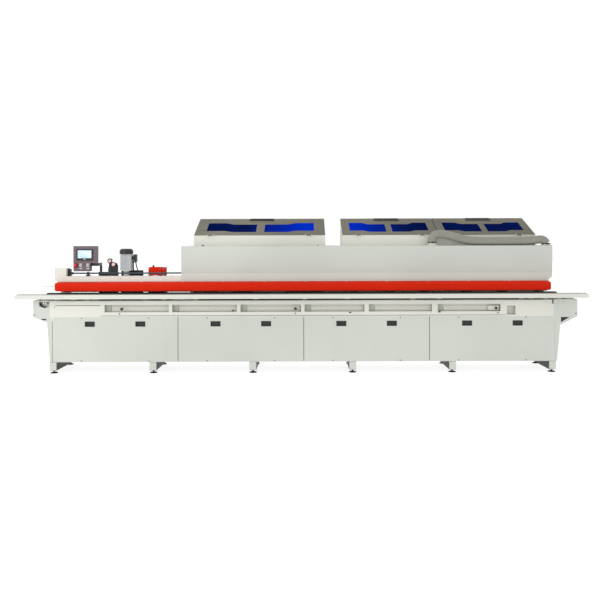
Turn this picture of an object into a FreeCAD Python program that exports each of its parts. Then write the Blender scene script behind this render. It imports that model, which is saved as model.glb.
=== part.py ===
"""Edge banding machine: a long base with a chain conveyor, a lifting pressure beam, a row of
working units under sliding-height guards, and hinged hood lids with blue windows.

Frame: millimetres, +X along the feed, +Y away from the operator, +Z up, with the origin on the
floor under the middle of the machine.
"""
import FreeCAD, Part
import math
import os

import Sketcher
from FreeCAD import Placement, Rotation, Vector

os.makedirs("parts", exist_ok=True)
doc = FreeCAD.newDocument("EdgeBandingMachine")
sheet = doc.addObject("Spreadsheet::Sheet", "Dimensions")

DRIVING = {
    # Overall frame
    "front": -370, "half_length": 3366, "sheet_metal": 3,
    # Feet and cross-beams
    "pad_radius": 45, "pad_height": 12, "stud_radius": 9, "leg_bottom": 33, "leg_top": 134,
    "leg_width": 82, "leg_first": -2954, "leg_pitch": 1186, "foot_front": 45, "foot_rear": 665,
    "leg_count": 6,
    # Base cabinet
    "base_depth": 700, "panel_left": -2962, "panel_pitch": 1492.5, "panel_gap": 8, "panel_top": 668,
    "panel_depth": 18, "panel_count": 4, "pull_width": 112, "pull_height": 56, "pull_spacing": 600,
    "pull_level": 585, "tube": 50,
    # Apron under the conveyor
    "apron_left": -2990, "apron_right": 2989, "apron_bottom": 684, "window_bottom": 725,
    "window_top": 813, "apron_top": 858, "apron_depth": 40, "channel_depth": 60,
    # Conveyor
    "chain_front": 66, "chain_rear": 150, "chain_top": 950, "chain_axis": 846, "idler_centre": -3052,
    "pad_pitch": 76.3, "pad_thickness": 14, "band": 16,
    # Support rail
    "rail_front": -120, "rail_rear": -62, "rail_bottom": 890, "rail_lip": 940, "rail_roller_radius": 10,
    "rail_roller_pitch": 30, "arm_width": 60, "arm_reach": 560, "arm_thickness": 8,
    # Pressure beam and its cover
    "beam_left": -2932, "beam_right": 2963, "beam_front": 94, "beam_rear": 250, "beam_bottom": 1014,
    "beam_top": 1148, "wall": 6, "cover_bottom": 973, "cover_fold": 1058, "cover_back": 88,
    "cover_top": 1084, "board_gap": 10, "press_radius": 22, "press_pitch": 51.5,
    "shaft_radius": 9.5, "shaft_level": 1181, "shaft_depth": 190,
    # Housing and hoods
    "housing_left": -1443, "housing_right": 3005, "housing_bottom": 1098, "housing_top": 1504,
    "housing_front_depth": 90, "hood_front": 230, "hood_rear": 800, "hood_eave": 1636,
    "hood_ridge": 1846, "lid_sheet": 4,
    # Dust extraction
    "spigot_radius": 60, "spigot_length": 60, "hose_radius": 51, "hose_depth": 145,
    # Pre-milling unit
    "motor_centre": -2149, "motor_depth": 300, "motor_side": 150, "cutter_radius": 70,
    # Operator's panel
    "panel_front": 70, "panel_thick": 80,
}
for row, (alias, number) in enumerate(DRIVING.items(), start=1):
    sheet.set(f"A{row}", alias)
    sheet.set(f"B{row}", str(number))
    sheet.setAlias(f"B{row}", alias)
doc.recompute()


class Size:
    """A length worked out from the sheet: its number, and the formula that binds it."""

    def __init__(self, number, formula=None):
        self.number = float(number)
        self.formula = formula or f"{self.number:.6f}"

    def join(self, other, sign, number):
        return Size(number, f"({self.formula} {sign} {size(other).formula})")

    def __add__(self, other):
        return self.join(other, "+", self.number + size(other).number)

    def __sub__(self, other):
        return self.join(other, "-", self.number - size(other).number)

    def __mul__(self, other):
        return self.join(other, "*", self.number * size(other).number)

    def __truediv__(self, other):
        return self.join(other, "/", self.number / size(other).number)

    def __radd__(self, other):
        return size(other) + self

    def __rsub__(self, other):
        return size(other) - self

    def __rmul__(self, other):
        return size(other) * self


def size(entry):
    """A number or a Size, as a Size."""
    return entry if isinstance(entry, Size) else Size(entry)


class Dimensions:
    """Reads the sheet: D.rail_front is that cell as a Size."""

    def __getattr__(self, alias):
        return Size(getattr(sheet, alias), f"Dimensions.{alias}")


D = Dimensions()
NODES = []


def depth(distance):
    """Y of a plane that lies this far behind the front panels."""
    return D.front + distance


def bind(target, path, entry):
    target.setExpression(path, size(entry).formula)


def bind_place(target, x, y, z):
    for axis, entry in zip("xyz", (x, y, z)):
        bind(target, f"Placement.Base.{axis}", entry)


def box(label, x, y, z):
    """A box between two X, two Y and two Z."""
    piece = doc.addObject("Part::Box", label)
    for side, (low, high) in zip(("Length", "Width", "Height"), (x, y, z)):
        bind(piece, side, size(high) - low)
    bind_place(piece, x[0], y[0], z[0])
    return piece


TURN = {
    "x": Rotation(Vector(0, 1, 0), 90),
    "y": Rotation(Vector(1, 0, 0), -90),
    "z": Rotation(),
}


def rod(label, axis, radius, start, length):
    """A cylinder from start along +axis."""
    piece = doc.addObject("Part::Cylinder", label)
    piece.Placement = Placement(Vector(), TURN[axis])
    bind(piece, "Radius", radius)
    bind(piece, "Height", length)
    bind_place(piece, *start)
    return piece


def taper(label, axis, first_radius, second_radius, start, length):
    """A cone frustum from start along +axis."""
    piece = doc.addObject("Part::Cone", label)
    piece.Placement = Placement(Vector(), TURN[axis])
    bind(piece, "Radius1", first_radius)
    bind(piece, "Radius2", second_radius)
    bind(piece, "Height", length)
    bind_place(piece, *start)
    return piece


def cut(label, base, *tools):
    tool = tools[0] if len(tools) == 1 else group(label + "_tools", *tools)
    piece = doc.addObject("Part::Cut", label)
    piece.Base = base
    piece.Tool = tool
    return piece


def fuse(label, *pieces):
    piece = doc.addObject("Part::MultiFuse", label)
    piece.Shapes = list(pieces)
    return piece


def group(label, *pieces):
    """Separate solids kept side by side in one sub-part."""
    piece = doc.addObject("Part::Compound", label)
    piece.Links = list(pieces)
    return piece


def node(name, piece):
    """Names a finished sub-part."""
    piece.Label = name
    NODES.append(piece)
    return piece


def shaped(label, shape):
    """A sub-part whose shape comes from Part's own functions."""
    piece = doc.addObject("Part::Feature", label)
    piece.Shape = shape
    return piece


def outline(sketch, vertices):
    """A closed polygon in a sketch, each corner bound to its two sizes."""
    corners = [Vector(size(u).number, size(v).number, 0) for u, v in vertices]
    first = sketch.GeometryCount
    count = len(corners)
    for index, corner in enumerate(corners):
        sketch.addGeometry(Part.LineSegment(corner, corners[(index + 1) % count]), False)
    for index in range(count):
        following = first + (index + 1) % count
        sketch.addConstraint(Sketcher.Constraint("Coincident", first + index, 2, following, 1))
    for index, (u, v) in enumerate(vertices):
        for kind, entry in (("DistanceX", u), ("DistanceY", v)):
            number = size(entry).number
            place = sketch.addConstraint(
                Sketcher.Constraint(kind, -1, 1, first + index, 1, number))
            sketch.setExpression(f"Constraints[{place}]", size(entry).formula)


def plane(body, role):
    return [part for part in body.Origin.OriginFeatures if part.Role == role][0]


def extruded(name, role, vertices, length, start, holes=(), toward_normal=True):
    """A PartDesign body: one outline padded along its plane's normal from start."""
    body = doc.addObject("PartDesign::Body", name)
    sketch = body.newObject("Sketcher::SketchObject", name + "_sketch")
    sketch.AttachmentSupport = [(plane(body, role), "")]
    sketch.MapMode = "FlatFace"
    outline(sketch, vertices)
    for hole in holes:
        outline(sketch, hole)
    pad = body.newObject("PartDesign::Pad", name + "_pad")
    pad.Profile = sketch
    pad.Reversed = not toward_normal
    bind(pad, "Length", length)
    bind_place(body, *start)
    return body


def rectangle(left, right, bottom, top):
    return [(left, bottom), (right, bottom), (right, top), (left, top)]


def pocketed(body, name, role, vertices, length, reverse, offset=0):
    """Cuts one more outline out of a body."""
    sketch = body.newObject("Sketcher::SketchObject", name + "_sketch")
    sketch.AttachmentSupport = [(plane(body, role), "")]
    sketch.MapMode = "FlatFace"
    sketch.AttachmentOffset = Placement(Vector(0, 0, offset), Rotation())
    outline(sketch, vertices)
    pocket = body.newObject("PartDesign::Pocket", name)
    pocket.Profile = sketch
    pocket.Reversed = reverse
    bind(pocket, "Length", length)
    return pocket


# --- Feet, cross-beams and base frame -------------------------------------------------------

def leg_positions():
    return [D.leg_first + D.leg_pitch * index for index in range(int(D.leg_count.number))]


def base_legs():
    beams = []
    feet = []
    for number, centre in enumerate(leg_positions(), start=1):
        across = (centre - D.leg_width / 2, centre + D.leg_width / 2)
        along = (depth(4), depth(D.base_depth - 4))
        beams.append(box(f"leg_beam_{number}", across, along, (D.leg_bottom, D.leg_top)))
        for side, place in (("front", D.foot_front), ("rear", D.foot_rear)):
            tag = f"{side}_{number}"
            start = (centre, depth(place), 0)
            base = taper(f"pad_{tag}", "z", D.pad_radius, D.pad_radius * 0.7, start, D.pad_height)
            rise = (centre, depth(place), D.pad_height)
            stud = rod(f"stud_{tag}", "z", D.stud_radius, rise, D.leg_bottom - D.pad_height)
            feet += [base, stud]
    node("leg_beams", group("leg_beam_group", *beams))
    node("levelling_feet", group("feet_group", *feet))


def seam(index):
    """X of the seam between front panels, counted from the infeed end."""
    return D.panel_left + D.panel_pitch * index


def base_frame():
    rails = []
    posts = []
    span = (D.panel_left + 4, seam(D.panel_count) - 4)
    sides = {"front": depth(D.panel_depth + 2), "rear": depth(D.base_depth - 10) - D.tube}
    for side, y in sides.items():
        across = (y, y + D.tube)
        rails.append(box(f"sill_{side}", span, across, (D.leg_top, D.leg_top + D.tube)))
        rails.append(box(f"top_rail_{side}", span, across, (D.panel_top - D.tube, D.panel_top)))
        for index in range(int(D.panel_count.number) + 1):
            inset = 4 if index == 0 else (D.tube - 4 if index == 4 else D.tube / 2)
            low = seam(index) + (inset if index == 0 else 0 - size(inset))
            height = (D.leg_top + D.tube, D.panel_top - D.tube)
            posts.append(box(f"post_{side}_{index}", (low, low + D.tube), across, height))
    node("frame_rails", group("frame_rail_group", *rails))
    node("frame_posts", group("frame_post_group", *posts))


def pull_centres(index):
    middle = seam(index) + D.panel_pitch / 2
    return [middle - D.pull_spacing / 2, middle + D.pull_spacing / 2]


def front_panels():
    """Folded service panels, each a tray open to the back with two holes for its pulls."""
    cups = []
    for index in range(int(D.panel_count.number)):
        left = seam(index) + D.panel_gap / 2
        right = seam(index + 1) - D.panel_gap / 2
        face = rectangle(0, right - left, 0, D.panel_top - D.leg_top)
        holes = []
        for centre in pull_centres(index):
            u = centre - left
            low = D.pull_level - D.leg_top - D.pull_height / 2
            holes.append(rectangle(u - D.pull_width / 2, u + D.pull_width / 2,
                                   low, low + D.pull_height))
        name = f"front_panel_{index + 1}"
        body = extruded(name + "_body", "XZ_Plane", face, D.panel_depth,
                        (left, depth(0), D.leg_top), holes, toward_normal=False)
        inner = rectangle(D.sheet_metal, right - left - D.sheet_metal,
                          D.sheet_metal, D.panel_top - D.leg_top - D.sheet_metal)
        pocketed(body, name + "_tray", "XZ_Plane", inner, D.panel_depth - D.sheet_metal, False,
                 offset=-D.panel_depth.number)
        node(name, body)
        for side, centre in zip(("left", "right"), pull_centres(index)):
            cups.append(pull_cup(f"pull_{index + 1}_{side}", centre))
    node("pull_handles", group("pull_group", *cups))


def pull_cup(label, centre):
    """Flush pull: a flanged cup in the panel, open to the front."""
    half = D.pull_width / 2
    low = D.pull_level - D.pull_height / 2
    high = D.pull_level + D.pull_height / 2
    shell = box(label + "_shell", (centre - half, centre + half), (depth(0), depth(14)), (low, high))
    flange = box(label + "_flange", (centre - half - 3, centre + half + 3), (depth(-2), depth(0)),
                 (low - 3, high + 3))
    hollow = box(label + "_hollow", (centre - half + 6, centre + half - 6),
                 (depth(-3), depth(12)), (low + 6, high - 12))
    return cut(label, fuse(label + "_solid", shell, flange), hollow)


def rear_panels():
    sheets = []
    for index in range(int(D.panel_count.number)):
        span = (seam(index) + 4, seam(index + 1) - 4)
        back = depth(D.base_depth - 10)
        sheets.append(box(f"rear_panel_{index + 1}", span, (back, back + D.sheet_metal),
                          (D.leg_top, D.panel_top)))
    node("rear_panels", group("rear_panel_group", *sheets))


# --- Apron, bed and conveyor ------------------------------------------------------------------

APRON_POSTS = [(-1578, -1538), (-770, -727), (-8, 34), (745, 797), (1547, 1614)]
RECESS = (2436, 2538)


def apron():
    across = (depth(0), depth(D.apron_depth))
    back = (depth(D.channel_depth), depth(D.channel_depth + D.sheet_metal))
    full = (D.apron_left, D.apron_right)
    rails = [
        box("apron_top_rail", full, across, (D.window_top, D.apron_top)),
        box("apron_lower_left", (D.apron_left, RECESS[0]), across, (D.apron_bottom, D.window_bottom)),
        box("apron_lower_right", (RECESS[1], D.apron_right), across, (D.apron_bottom, D.window_bottom)),
        box("apron_floor", full, (depth(0), depth(D.channel_depth)),
            (D.panel_top, D.apron_bottom)),
        box("apron_back", full, back, (D.panel_top, D.apron_top)),
    ]
    spans = [(D.apron_left, -2341)] + APRON_POSTS + [(2360, RECESS[0]), (RECESS[1], D.apron_right)]
    height = (D.window_bottom, D.window_top)
    posts = [box(f"apron_post_{number}", span, across, height) for number, span in enumerate(spans, 1)]
    posts.append(box("recess_lintel", RECESS, across, (790, D.window_top)))
    node("apron_rails", group("apron_rail_group", *rails))
    node("apron_posts", group("apron_post_group", *posts))


END_DEPTH = 460


def end_cover(name, side, inner, edge, wall_x, lip, brace, foot_x, opening):
    """End of the machine: a front plate round the chain's turn that tapers down beside the
    service panels, a rear plate, an end wall and the slanted sheet that closes the base."""
    top = D.apron_top + 8
    front = [(inner, top), (wall_x, top), (wall_x, 690), lip, brace, (foot_x, D.leg_top),
             (edge, D.leg_top), (edge, D.panel_top + side), (inner, D.panel_top + side)]
    plate = extruded(name + "_front", "XZ_Plane", front, D.sheet_metal, (0, depth(0), 0), [opening],
                     toward_normal=False)
    back = [(inner, top), (wall_x, top), (wall_x, 690), lip, brace, (inner, brace[1])]
    rear = extruded(name + "_rear", "XZ_Plane", back, D.sheet_metal, (0, depth(END_DEPTH), 0),
                    toward_normal=False)
    low, high = sorted((wall_x, wall_x - side * 3))
    wall = box(name + "_wall", (low, high), (depth(3), depth(END_DEPTH)), (690, top))
    slant = [(brace[0], brace[1] - 2), (foot_x, D.leg_top), (foot_x - side * 4, D.leg_top),
             (brace[0] - side * 4, brace[1] - 2)]
    skirt = extruded(name + "_skirt", "XZ_Plane", slant, D.base_depth - 20, (0, depth(3), 0),
                     toward_normal=False)
    node(name, group(name + "_group", plate, rear, wall, skirt))


def end_covers():
    middle = D.idler_centre + 3
    window = [(middle - 70, 850), (middle - 70, 800), (middle, 774), (middle + 54, 797),
              (middle + 54, 850)]
    end_cover("infeed_end_cover", -1, D.apron_left, D.panel_left - 2, -3188, (-3196, 672),
              (-3024, 606), -2991, window)
    triangle = [(3076, 592), (3180, 654), (3076, 654)]
    end_cover("outfeed_end_cover", 1, D.apron_right, seam(D.panel_count) - 2, 3272, (3276, 665),
              (3068, 558), 3030, triangle)


def bed():
    """Machined bed, the conveyor's track on it and the two columns that guide the beam."""
    top = D.apron_top
    span = (D.apron_left + 10, D.apron_right - 10)
    track = (D.chain_front + 14, D.chain_rear - 14)
    pieces = [
        box("bed_top", span, (depth(160), depth(690)), (top - 20, top)),
        box("bed_front", span, (depth(160), depth(175)), (D.panel_top + 12, top - 20)),
        box("bed_rear", span, (depth(675), depth(690)), (D.panel_top + 12, top - 20)),
        box("bed_floor", span, (depth(64), depth(690)), (D.panel_top, D.panel_top + 12)),
        box("chain_track", (-2940, 2940), (depth(track[0]), depth(track[1])),
            (D.rail_bottom + 2, D.chain_top - D.pad_thickness - D.band - 0.5)),
        box("column_infeed", (-2940, -2830), (depth(D.beam_rear + 1), depth(330)), (top, 1140)),
        box("column_outfeed", (2840, 2950), (depth(D.beam_rear + 1), depth(330)), (top, 1140)),
    ]
    for number in range(5):
        x = -2600 + 1300 * number
        pieces.append(box(f"track_foot_{number + 1}", (x, x + 60),
                          (depth(track[0]), depth(160)),
                          (790, D.rail_bottom + 2)))
    node("machine_bed", group("bed_group", *pieces))


def conveyor():
    """Conveyor chain: a band round both sprockets with a pad on every link of both runs."""
    outer = (D.chain_top - D.chain_axis - D.pad_thickness).number
    inner = outer - D.band.number
    reach = abs(D.idler_centre.number)
    level = D.chain_axis.number
    loops = []
    for radius in (outer, inner):
        left, right = -reach, reach
        top, low = level + radius, level - radius
        loops.append(Part.Wire([
            Part.LineSegment(Vector(left, 0, top), Vector(right, 0, top)).toShape(),
            Part.Arc(Vector(right, 0, top), Vector(right + radius, 0, level),
                     Vector(right, 0, low)).toShape(),
            Part.LineSegment(Vector(right, 0, low), Vector(left, 0, low)).toShape(),
            Part.Arc(Vector(left, 0, low), Vector(left - radius, 0, level),
                     Vector(left, 0, top)).toShape(),
        ]))
    width = (D.chain_rear - D.chain_front - 24).number
    ring = Part.Face(loops[0]).cut(Part.Face(loops[1])).extrude(Vector(0, width, 0))
    band = shaped("chain_band", ring)
    bind_place(band, 0, depth(D.chain_front + 12), 0)
    pads = []
    count = int(2 * reach / D.pad_pitch.number)
    for number in range(count):
        x = D.pad_pitch * (number - (count - 1) / 2)
        along = (x - D.pad_pitch / 2 + 2, x + D.pad_pitch / 2 - 2)
        across = (depth(D.chain_front), depth(D.chain_rear))
        for run, low in (("top", D.chain_top - D.pad_thickness),
                         ("return", D.chain_axis * 2 - D.chain_top)):
            height = (low, low + D.pad_thickness)
            pads.append(box(f"pad_{run}_{number + 1}", along, across, height))
    node("conveyor_chain", group("chain_group", band, *pads))
    for name, x in (("idler_sprocket", D.idler_centre), ("drive_sprocket", 0 - D.idler_centre)):
        wheel = rod(name + "_wheel", "y", inner - 0.5, (x, depth(D.chain_front + 14), D.chain_axis), 56)
        hub = rod(name + "_hub", "y", 25, (x, depth(8), D.chain_axis), D.chain_front + 6)
        end = rod(name + "_end", "y", 25, (x, depth(136), D.chain_axis), 60)
        node(name, fuse(name + "_solid", wheel, hub, end))
    x = 0 - D.idler_centre
    gearbox = box("gearbox", (x - 60, x + 70), (depth(200), depth(300)), (775, 858))
    motor = rod("gearmotor", "y", 45, (x + 5, depth(300), 812), 150)
    node("drive_gearmotor", group("gearmotor_group", gearbox, motor))


# --- Support rail --------------------------------------------------------------------------------

def support_rail():
    """Roller rail carried on flat arms that slide in and out under the conveyor track."""
    span = (0 - D.half_length, D.half_length)
    wall = D.sheet_metal
    front = depth(D.rail_front)
    rear = depth(D.rail_rear)
    pieces = [
        box("rail_base", span, (front, rear), (D.rail_bottom, D.rail_bottom + wall)),
        box("rail_front_lip", span, (front, front + wall), (D.rail_bottom + wall, D.rail_lip)),
        box("rail_rear_lip", span, (rear - wall, rear), (D.rail_bottom + wall, D.rail_lip)),
    ]
    for number in range(6):
        x = -2700 + 1080 * number
        low = D.rail_bottom - D.arm_thickness
        pieces.append(box(f"rail_arm_{number + 1}", (x - D.arm_width / 2, x + D.arm_width / 2),
                          (rear - 12, depth(D.arm_reach)), (low, D.rail_bottom)))
    node("support_rail", group("rail_group", *pieces))
    rollers = []
    count = int((2 * D.half_length.number - 40) / D.rail_roller_pitch.number)
    level = D.chain_top - 2 - D.rail_roller_radius
    for number in range(count):
        x = D.rail_roller_pitch * (number - (count - 1) / 2)
        rollers.append(rod(f"rail_roller_{number + 1}", "y", D.rail_roller_radius,
                           (x, front + wall + 0.5, level), D.rail_rear - D.rail_front - 7))
    node("rail_rollers", group("rail_roller_group", *rollers))


# --- Pressure beam -------------------------------------------------------------------------------

def pressure_beam():
    """Hollow beam, the roller carrier under it and its folded cover: all rise together."""
    u = (depth(D.beam_front), depth(D.beam_rear))
    tube = extruded("beam_tube", "YZ_Plane",
                    rectangle(u[0], u[1], D.beam_bottom, D.beam_top), D.beam_right - D.beam_left,
                    (D.beam_left, 0, 0),
                    [rectangle(u[0] + D.wall, u[1] - D.wall, D.beam_bottom + D.wall,
                               D.beam_top - D.wall)])
    span = (D.beam_left + 40, D.beam_right - 20)
    pieces = [
        tube,
        box("carrier_top", span, (depth(56), depth(156)), (D.beam_bottom - 8, D.beam_bottom)),
        box("carrier_front", span, (depth(56), depth(61)), (985, D.beam_bottom - 8)),
        box("carrier_rear", span, (depth(151), depth(156)), (985, D.beam_bottom - 8)),
    ]
    for end, x in (("infeed", D.beam_left), ("outfeed", D.beam_right - D.wall)):
        pieces.append(box(f"beam_cap_{end}", (x, x + D.wall), (u[0] + D.wall, u[1] - D.wall),
                          (D.beam_bottom + D.wall, D.beam_top - D.wall)))
    for number in range(12):
        x = -2800 + 510 * number
        pieces.append(box(f"cover_bracket_{number + 1}", (x, x + 40), (depth(3), depth(D.beam_front)),
                          (1036, 1042)))
    node("pressure_beam", group("beam_group", *pieces))

    wall = 3
    profile = [
        (depth(14), D.cover_bottom), (depth(0), D.cover_bottom + 14), (depth(0), D.cover_fold),
        (depth(D.cover_back), D.cover_top), (depth(D.cover_back), D.cover_top - wall),
        (depth(wall), D.cover_fold - 2), (depth(wall), D.cover_bottom + 15),
        (depth(16), D.cover_bottom + 2),
    ]
    node("red_cover", extruded("cover_body", "YZ_Plane", profile, 5904, (-2938, 0, 0)))

    rollers = []
    count = 112
    level = D.chain_top + D.board_gap + D.press_radius
    for number in range(count):
        x = D.press_pitch * (number - (count - 1) / 2) + 26
        rollers.append(rod(f"press_roller_{number + 1}", "y", D.press_radius,
                           (x, depth(62), level), 88))
    node("pressure_rollers", group("press_roller_group", *rollers))

    case = box("lift_case", (-2963, -2823), (depth(D.beam_front), depth(D.beam_rear)),
               (D.beam_top, 1245))
    block = box("shaft_bearing", (-2823, -2795), (depth(155), depth(225)), (D.beam_top, 1236))
    collar = box("shaft_bracket", (-2610, -2564), (depth(165), depth(215)), (D.beam_top, 1163))
    bore = rod("bearing_bore", "x", D.shaft_radius + 0.05,
               (-2900, depth(D.shaft_depth), D.shaft_level), 140)
    feeler = rod("feeler_rod", "x", 3, (-3096, depth(60), 1030), 198)
    arm = box("feeler_arm", (-2904, -2898), (depth(56), depth(94)), (1024, 1036))
    bored = cut("lift_case_bored", case, bore)
    bored_block = cut("shaft_bearing_bored", block, rod(
        "block_bore", "x", D.shaft_radius + 0.05, (-2830, depth(D.shaft_depth), D.shaft_level), 60))
    node("lift_gearbox", group("lift_group", bored, bored_block, collar, feeler, arm))
    shaft = rod("shaft_bar", "x", D.shaft_radius, (-2898, depth(D.shaft_depth), D.shaft_level), 1500)
    flat = box("shaft_key", (-2600, -2574), (depth(D.shaft_depth) - 11, depth(D.shaft_depth) + 11),
               (D.shaft_level - 11, D.shaft_level + 11))
    node("lift_shaft", fuse("shaft_solid", shaft, flat))


# --- Housing, hoods and lids -------------------------------------------------------------------

def housing():
    """Guard over the working units: a front plate with a rounded corner, and its panels."""
    face = depth(D.housing_front_depth)
    inner = face + 2.5
    plate = Part.makeBox((D.housing_right - D.housing_left).number, 2.5,
                         (D.housing_top - D.housing_bottom).number)
    corner = [edge for edge in plate.Edges
              if edge.BoundBox.ZMax < 1 and edge.BoundBox.XMin > 100]
    front = shaped("housing_front_plate", plate.makeFillet(60, corner))
    bind_place(front, D.housing_left, face, D.housing_bottom)
    node("housing_front", front)

    wall = D.sheet_metal
    left, right, top = D.housing_left, D.housing_right, D.housing_top
    back = depth(D.hood_rear - 10)
    shelf_back = depth(D.hood_front)
    roof = (top - wall, top)
    pieces = [
        box("housing_side_left", (left, left + wall), (inner, back), (1250, top)),
        box("housing_side_right", (right - wall, right), (inner, back), (1160, top)),
        box("housing_back", (left, right), (back, back + wall), (D.apron_top, top)),
        box("housing_shelf", (left + wall, right - wall), (inner, shelf_back), roof),
        box("roof_left", (left + wall, HOODS[0][0]), (shelf_back, back), roof),
        box("roof_middle", (HOODS[0][1], HOODS[1][0]), (shelf_back, back), roof),
        box("roof_right", (HOODS[1][1], right - wall), (shelf_back, back), roof),
        box("housing_post", (right - 60, right - wall), (back - 60, back), (D.apron_top, 1160)),
    ]
    node("housing_panels", group("housing_group", *pieces))


HOODS = [(-1311, 289), (495, 2845)]
LIDS = {"left": (-1311, 289), "middle": (495, 1668), "right": (1672, 2845)}
HINGE_DEPTH = 222
HINGE_RADIUS = 4
KNUCKLE_RADIUS = 8


def hinge_axis():
    return depth(HINGE_DEPTH), D.hood_eave + 2


def lid_slope():
    rise = (D.hood_ridge - D.hood_eave).number
    run = (D.hood_rear - D.hood_front).number
    return math.degrees(math.atan2(rise, run))


def hoods():
    """Two raised hoods, each of four walls, with the pins that the lids turn on."""
    wall = D.sheet_metal
    front, rear = depth(D.hood_front), depth(D.hood_rear)
    base = D.housing_top
    drop = 2
    pieces = []
    for number, (left, right) in enumerate(HOODS, start=1):
        pieces.append(box(f"hood_front_{number}", (left, right), (front, front + wall),
                          (base, D.hood_eave - drop)))
        pieces.append(box(f"hood_rear_{number}", (left, right), (rear - wall, rear),
                          (base, D.hood_ridge - drop - 2)))
        side = [(front + wall, base), (rear - wall, base), (rear - wall, D.hood_ridge - drop - 2),
                (front + wall, D.hood_eave - drop)]
        for end, x in (("left", left), ("right", size(right) - wall)):
            pieces.append(extruded(f"hood_side_{end}_{number}", "YZ_Plane", side, wall, (x, 0, 0)))
    y, z = hinge_axis()
    for name, (left, right) in LIDS.items():
        for end, x in (("left", left + 160), ("right", right - 240)):
            tag = f"{name}_{end}"
            pin = rod(f"hinge_pin_{tag}", "x", HINGE_RADIUS, (x + 10, y, z), 60)
            pieces.append(pin)
            for side, low in (("a", x), ("b", x + 70)):
                across = (low, low + 10)
                pieces.append(box(f"hinge_ear_{tag}_{side}", across, (y - 6, y + 4.5),
                                  (z - 22, z + 4.5)))
                pieces.append(box(f"hinge_pad_{tag}_{side}", across, (y + 4.5, front),
                                  (z - 22, z - 6)))
    node("hoods", group("hood_group", *pieces))


def window_outline(inner, outer, depth_scale, mirror):
    """Window of a lid: its inner part sits lower on the slope than its outer part, with an
    S-shaped step between them."""
    step_start = inner + 0.42 * (outer - inner)
    step_end = inner + 0.68 * (outer - inner)
    low, high = 0.17, 0.63
    shift_low, shift_high = 0.24, 0.72

    def point(along, slope):
        return Vector(mirror * along, slope * depth_scale, 0)

    def step(start, end):
        middle = (step_start + step_end) / 2
        curve = Part.BezierCurve()
        curve.setPoles([point(step_start, start), point(middle, start),
                        point(middle, end), point(step_end, end)])
        return curve.toShape()

    def line(first, last):
        return Part.LineSegment(first, last).toShape()

    return Part.Wire([
        line(point(inner, low), point(step_start, low)),
        step(low, shift_low),
        line(point(step_end, shift_low), point(outer, shift_low)),
        line(point(outer, shift_low), point(outer, shift_high)),
        line(point(outer, shift_high), point(step_end, shift_high)),
        step(high, shift_high),
        line(point(step_start, high), point(inner, high)),
        line(point(inner, high), point(inner, low)),
    ])


def window_blank(outline_wire, thickness):
    edges = Part.__sortEdges__(outline_wire.Edges)
    return Part.Face(Part.Wire(edges)).extrude(Vector(0, 0, thickness))


def lids():
    """Sloping lids: a sheet with two windows, their panes, and a handle near the back edge."""
    run = (D.hood_rear - D.hood_front).number
    slope = lid_slope()
    length = run / math.cos(math.radians(slope))
    sheet_thickness = D.lid_sheet.number
    turn = Rotation(Vector(1, 0, 0), slope)
    front, eave = depth(D.hood_front).number, D.hood_eave.number
    _, axis_z = hinge_axis()
    for name, (left, right) in LIDS.items():
        middle = (left + right) / 2
        half = (right - left) / 2
        inner, outer = half * 0.063, half * 0.83
        place = Placement(Vector(middle, front, eave), turn)
        plate = Part.makeBox(2 * half - 4, length, sheet_thickness, Vector(2 - half, 0, 0))
        panes = []
        for mirror in (-1, 1):
            wire = window_outline(inner, outer, length, mirror)
            plate = plate.cut(window_blank(wire, sheet_thickness))
            panes.append(window_blank(wire, sheet_thickness - 1))
        handle = handle_solid(length, sheet_thickness)
        knuckles = []
        for x in (left + 160, right - 240):
            start = Vector(x + 11, depth(HINGE_DEPTH).number, axis_z.number)
            sleeve = Part.makeCylinder(KNUCKLE_RADIUS, 58, start, Vector(1, 0, 0))
            leaf = Part.makeBox(58, 14, 3, Vector(x + 11, front - 4, eave + 1))
            bore = Part.makeCylinder(HINGE_RADIUS + 0.05, 58, start, Vector(1, 0, 0))
            knuckles.append(sleeve.fuse(leaf).cut(bore))
        plate.Placement = place
        for knuckle in knuckles:
            plate = plate.fuse(knuckle)
        node(f"lid_{name}", shaped(f"lid_{name}_sheet", plate.removeSplitter()))
        glass = shaped(f"lid_{name}_panes", Part.makeCompound(panes))
        glass.Placement = place
        node(f"lid_{name}_windows", glass)
        grip = shaped(f"lid_{name}_grip", handle)
        grip.Placement = place
        node(f"lid_{name}_handle", grip)


def handle_solid(length, base_height):
    """Flush black handle: a shallow frame round a finger recess."""
    low, high = 0.85 * length, 0.97 * length
    frame = Part.makeBox(316, high - low, 9, Vector(-158, low, base_height))
    recess = Part.makeBox(288, high - low - 26, 7, Vector(-144, low + 13, base_height + 2))
    return frame.cut(recess)


# --- Dust extraction ---------------------------------------------------------------------------

HOSE_ROUTE = [
    (1575, 1552), (1575, 1608), (1632, 1644), (1742, 1637), (1880, 1597), (2040, 1561),
    (2240, 1557), (2480, 1558), (2680, 1557), (2826, 1571), (2922, 1578), (2946, 1533),
]


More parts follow.
